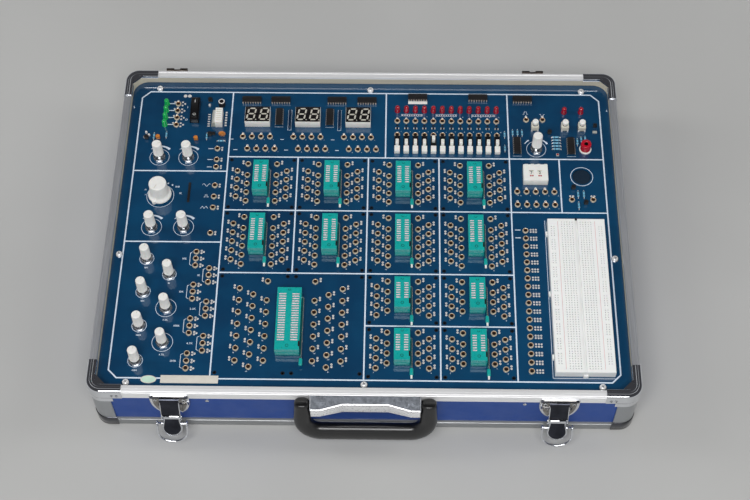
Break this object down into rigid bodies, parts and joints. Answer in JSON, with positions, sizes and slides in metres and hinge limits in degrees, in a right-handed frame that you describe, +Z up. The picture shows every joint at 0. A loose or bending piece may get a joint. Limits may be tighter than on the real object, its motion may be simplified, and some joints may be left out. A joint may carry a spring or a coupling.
{
  "type": "digital logic trainer",
  "caption": "Open aluminium-edged case holding one large circuit board with lever sockets, wire terminals, displays, lamps, switches, knobs and a breadboard.",
  "frame": {"origin": "centre of the case's footprint, on the underside of the base board", "axes": "+Z up, +X to the user's right, +Y away from the user towards the hinges"},
  "size_m": [0.5006, 0.395, 0.0806],
  "materials": {
    "aluminium": "satin anodised",
    "blue_board": "blue-faced board, satin",
    "chrome": "polished",
    "base_board": "plain board",
    "lining": "pale, matte",
    "steel": "bright",
    "black_plastic": "gloss",
    "board_blue": "gloss solder mask",
    "teal_plastic": "satin",
    "gilt": "plated",
    "white_plastic": "satin",
    "display": "dark face",
    "dark_parts": "moulded",
    "red_lamp": "clear tinted",
    "supply_tray": "plain sheet"
  },
  "bodies": {
    "case": {"base_board": "base_board", "board_screws": "steel", "breadboard": "white_plastic", "catch_plates": "chrome", "circuit_board": "board_blue", "control_bodies": "dark_parts", "corner_caps": "chrome", "display_blocks": "display", "handle_bracket": "chrome", "hinge_halves": "steel", "lamps": "red_lamp", "lever_sockets": "teal_plastic", "lining_ledge": "lining", "lower_frame": "aluminium", "power_supply": "supply_tray", "side_panels": "blue_board", "small_parts": "dark_parts", "upper_frame": "aluminium", "wire_terminals": "gilt"},
    "handle": {"handle_grip": "black_plastic"},
    "left_lever": {"left_catch_lever": "chrome"},
    "left_bail": {"left_catch_bail": "chrome"},
    "right_lever": {"right_catch_lever": "chrome"},
    "right_bail": {"right_catch_bail": "chrome"},
    "first_row_levers": {"first_row_levers": "steel"},
    "second_row_levers": {"second_row_levers": "steel"},
    "third_row_levers": {"third_row_levers": "steel"},
    "fourth_row_levers": {"fourth_row_levers": "steel"},
    "wide_socket_levers": {"wide_socket_lever": "steel"},
    "slide_1": {"slide_lever_1": "white_plastic"},
    "slide_2": {"slide_lever_2": "white_plastic"},
    "slide_3": {"slide_lever_3": "white_plastic"},
    "slide_4": {"slide_lever_4": "white_plastic"},
    "slide_5": {"slide_lever_5": "white_plastic"},
    "slide_6": {"slide_lever_6": "white_plastic"},
    "slide_7": {"slide_lever_7": "white_plastic"},
    "slide_8": {"slide_lever_8": "white_plastic"},
    "slide_9": {"slide_lever_9": "white_plastic"},
    "slide_10": {"slide_lever_10": "white_plastic"},
    "slide_11": {"slide_lever_11": "white_plastic"},
    "slide_12": {"slide_lever_12": "white_plastic"},
    "pulse_key": {"pulse_button": "white_plastic"},
    "left_step_key": {"left_step_button": "white_plastic"},
    "right_step_key": {"right_step_button": "white_plastic"},
    "power_rocker_body": {"power_rocker": "black_plastic"},
    "tens_wheel_body": {"tens_wheel": "black_plastic"},
    "units_wheel_body": {"units_wheel": "black_plastic"},
    "positive_supply_knob_body": {"positive_supply_knob": "white_plastic"},
    "negative_supply_knob_body": {"negative_supply_knob": "white_plastic"},
    "amplitude_knob_body": {"amplitude_knob": "white_plastic"},
    "frequency_knob_body": {"frequency_knob": "white_plastic"},
    "pulse_rate_knob_body": {"pulse_rate_knob": "white_plastic"},
    "range_selector_knob_body": {"range_selector_knob": "white_plastic"},
    "pot_knob_1_body": {"pot_knob_1": "white_plastic"},
    "pot_knob_2_body": {"pot_knob_2": "white_plastic"},
    "pot_knob_3_body": {"pot_knob_3": "white_plastic"},
    "pot_knob_4_body": {"pot_knob_4": "white_plastic"},
    "pot_knob_5_body": {"pot_knob_5": "white_plastic"},
    "pot_knob_6_body": {"pot_knob_6": "white_plastic"},
    "pot_knob_7_body": {"pot_knob_7": "white_plastic"}
  },
  "joints": [
    {"name": "handle_swing", "type": "hinge", "parent": "case", "child": "handle", "pos_m": [0.002, -0.1902, 0.057], "axis": [-1, 0, 0], "range_deg": [-10, 95]},
    {"name": "left_catch_swing", "type": "hinge", "parent": "case", "child": "left_lever", "pos_m": [-0.1752, -0.1896, 0.031], "axis": [-1, 0, 0], "range_deg": [-12, 90]},
    {"name": "left_bail_swing", "type": "hinge", "parent": "left_lever", "child": "left_bail", "pos_m": [-0.1752, -0.19473, 0.02666], "axis": [-1, 0, 0], "range_deg": [-15, 45]},
    {"name": "right_catch_swing", "type": "hinge", "parent": "case", "child": "right_lever", "pos_m": [0.1766, -0.1896, 0.031], "axis": [-1, 0, 0], "range_deg": [-12, 90]},
    {"name": "right_bail_swing", "type": "hinge", "parent": "right_lever", "child": "right_bail", "pos_m": [0.1766, -0.19473, 0.02666], "axis": [-1, 0, 0], "range_deg": [-15, 45]},
    {"name": "first_row_lift", "type": "hinge", "parent": "case", "child": "first_row_levers", "pos_m": [0, 0.0646, 0.0613], "axis": [-1, 0, 0], "range_deg": [0, 90]},
    {"name": "second_row_lift", "type": "hinge", "parent": "case", "child": "second_row_levers", "pos_m": [0, 0.0022, 0.0613], "axis": [-1, 0, 0], "range_deg": [0, 90]},
    {"name": "third_row_lift", "type": "hinge", "parent": "case", "child": "third_row_levers", "pos_m": [0, -0.0676, 0.0613], "axis": [-1, 0, 0], "range_deg": [0, 90]},
    {"name": "fourth_row_lift", "type": "hinge", "parent": "case", "child": "fourth_row_levers", "pos_m": [0, -0.1226, 0.0613], "axis": [-1, 0, 0], "range_deg": [0, 90]},
    {"name": "wide_socket_lift", "type": "hinge", "parent": "case", "child": "wide_socket_levers", "pos_m": [0, -0.0806, 0.0613], "axis": [-1, 0, 0], "range_deg": [0, 90]},
    {"name": "slide_1_throw", "type": "slide", "parent": "case", "child": "slide_1", "axis": [0, 1, 0], "range_m": [0, 0.0044]},
    {"name": "slide_2_throw", "type": "slide", "parent": "case", "child": "slide_2", "axis": [0, 1, 0], "range_m": [0, 0.0044]},
    {"name": "slide_3_throw", "type": "slide", "parent": "case", "child": "slide_3", "axis": [0, 1, 0], "range_m": [0, 0.0044]},
    {"name": "slide_4_throw", "type": "slide", "parent": "case", "child": "slide_4", "axis": [0, 1, 0], "range_m": [0, 0.0044]},
    {"name": "slide_5_throw", "type": "slide", "parent": "case", "child": "slide_5", "axis": [0, 1, 0], "range_m": [-0.0044, 0]},
    {"name": "slide_6_throw", "type": "slide", "parent": "case", "child": "slide_6", "axis": [0, 1, 0], "range_m": [0, 0.0044]},
    {"name": "slide_7_throw", "type": "slide", "parent": "case", "child": "slide_7", "axis": [0, 1, 0], "range_m": [0, 0.0044]},
    {"name": "slide_8_throw", "type": "slide", "parent": "case", "child": "slide_8", "axis": [0, 1, 0], "range_m": [0, 0.0044]},
    {"name": "slide_9_throw", "type": "slide", "parent": "case", "child": "slide_9", "axis": [0, 1, 0], "range_m": [0, 0.0044]},
    {"name": "slide_10_throw", "type": "slide", "parent": "case", "child": "slide_10", "axis": [0, 1, 0], "range_m": [0, 0.0044]},
    {"name": "slide_11_throw", "type": "slide", "parent": "case", "child": "slide_11", "axis": [0, 1, 0], "range_m": [0, 0.0044]},
    {"name": "slide_12_throw", "type": "slide", "parent": "case", "child": "slide_12", "axis": [0, 1, 0], "range_m": [0, 0.0044]},
    {"name": "pulse_press", "type": "slide", "parent": "case", "child": "pulse_key", "axis": [0, 0, -1], "range_m": [0, 0.0012], "stiffness_N_per_m": 900},
    {"name": "left_step_press", "type": "slide", "parent": "case", "child": "left_step_key", "axis": [0, 0, -1], "range_m": [0, 0.0012], "stiffness_N_per_m": 900},
    {"name": "right_step_press", "type": "slide", "parent": "case", "child": "right_step_key", "axis": [0, 0, -1], "range_m": [0, 0.0012], "stiffness_N_per_m": 900},
    {"name": "power_tip", "type": "hinge", "parent": "case", "child": "power_rocker_body", "pos_m": [-0.1776, 0.1378, 0.062], "axis": [-1, 0, 0], "range_deg": [0, 18]},
    {"name": "tens_turn", "type": "hinge", "parent": "case", "child": "tens_wheel_body", "pos_m": [0.1604, 0.0617, 0.0589], "axis": [1, 0, 0], "continuous": true},
    {"name": "units_turn", "type": "hinge", "parent": "case", "child": "units_wheel_body", "pos_m": [0.1686, 0.0617, 0.0589], "axis": [1, 0, 0], "continuous": true},
    {"name": "positive_supply_turn", "type": "hinge", "parent": "case", "child": "positive_supply_knob_body", "pos_m": [-0.2085, 0.0816, 0.057], "axis": [0, 0, 1], "range_deg": [-150, 150]},
    {"name": "negative_supply_turn", "type": "hinge", "parent": "case", "child": "negative_supply_knob_body", "pos_m": [-0.1797, 0.0816, 0.057], "axis": [0, 0, 1], "range_deg": [-150, 150]},
    {"name": "amplitude_turn", "type": "hinge", "parent": "case", "child": "amplitude_knob_body", "pos_m": [-0.2085, -0.0012, 0.057], "axis": [0, 0, 1], "range_deg": [-150, 150]},
    {"name": "frequency_turn", "type": "hinge", "parent": "case", "child": "frequency_knob_body", "pos_m": [-0.1775, -0.001, 0.057], "axis": [0, 0, 1], "range_deg": [-150, 150]},
    {"name": "pulse_rate_turn", "type": "hinge", "parent": "case", "child": "pulse_rate_knob_body", "pos_m": [0.167, 0.0952, 0.057], "axis": [0, 0, 1], "range_deg": [-150, 150]},
    {"name": "range_selector_turn", "type": "hinge", "parent": "case", "child": "range_selector_knob_body", "pos_m": [-0.2034, 0.0352, 0.057], "axis": [0, 0, 1], "range_deg": [-150, 120]},
    {"name": "pot_1_turn", "type": "hinge", "parent": "case", "child": "pot_knob_1_body", "pos_m": [-0.2095, -0.0368, 0.057], "axis": [0, 0, 1], "range_deg": [-150, 150]},
    {"name": "pot_2_turn", "type": "hinge", "parent": "case", "child": "pot_knob_2_body", "pos_m": [-0.1864, -0.054, 0.057], "axis": [0, 0, 1], "range_deg": [-150, 150]},
    {"name": "pot_3_turn", "type": "hinge", "parent": "case", "child": "pot_knob_3_body", "pos_m": [-0.2095, -0.0732, 0.057], "axis": [0, 0, 1], "range_deg": [-150, 150]},
    {"name": "pot_4_turn", "type": "hinge", "parent": "case", "child": "pot_knob_4_body", "pos_m": [-0.1864, -0.0904, 0.057], "axis": [0, 0, 1], "range_deg": [-150, 150]},
    {"name": "pot_5_turn", "type": "hinge", "parent": "case", "child": "pot_knob_5_body", "pos_m": [-0.2095, -0.1096, 0.057], "axis": [0, 0, 1], "range_deg": [-150, 150]},
    {"name": "pot_6_turn", "type": "hinge", "parent": "case", "child": "pot_knob_6_body", "pos_m": [-0.1864, -0.1268, 0.057], "axis": [0, 0, 1], "range_deg": [-150, 150]},
    {"name": "pot_7_turn", "type": "hinge", "parent": "case", "child": "pot_knob_7_body", "pos_m": [-0.2095, -0.146, 0.057], "axis": [0, 0, 1], "range_deg": [-150, 150]}
  ]
}
